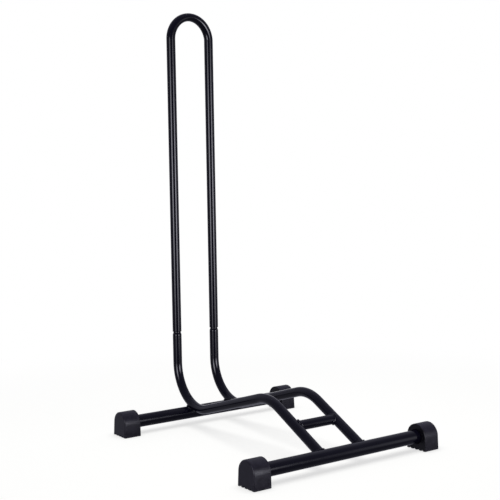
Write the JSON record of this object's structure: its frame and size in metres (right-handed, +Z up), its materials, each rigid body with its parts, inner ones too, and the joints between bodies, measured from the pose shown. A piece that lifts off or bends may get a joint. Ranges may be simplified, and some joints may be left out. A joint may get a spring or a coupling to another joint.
{
  "type": "bike display stand",
  "caption": "Free-standing floor stand of bent steel tube: a wheel rolls onto the ribbed-footed base and a tall narrow hoop holds it upright; the hoop lifts off its spigots.",
  "frame": {"origin": "on the floor, in the middle of the stand's outline", "axes": "+Z up along the hoop; +Y points to the rear, so a wheel rolls in along +Y from the front; +X to the right along the cross tubes"},
  "size_m": [0.3678, 0.445, 0.738],
  "materials": {
    "coated_steel": "satin black powder coat",
    "coated_weld": "satin black powder coat over a ripple weld",
    "foot_rubber": "matte moulded"
  },
  "bodies": {
    "base": {"rear_cross_tube": "coated_steel", "front_cross_tube": "coated_steel", "left_lower_tube": "coated_steel", "right_lower_tube": "coated_steel", "bridge_tube": "coated_steel", "weld_rear_left": "coated_weld", "weld_rear_right": "coated_weld", "weld_front_left": "coated_weld", "weld_front_right": "coated_weld", "weld_bridge_left": "coated_weld", "weld_bridge_right": "coated_weld", "foot_rear_left": "foot_rubber", "foot_rear_right": "foot_rubber", "foot_front_left": "foot_rubber", "foot_front_right": "foot_rubber"},
    "hoop": {"wheel_hoop": "coated_steel"}
  },
  "joints": [
    {"name": "hoop_lift", "type": "slide", "parent": "base", "child": "hoop", "axis": [0, 0, 1], "range_m": [0, 0.06]}
  ]
}
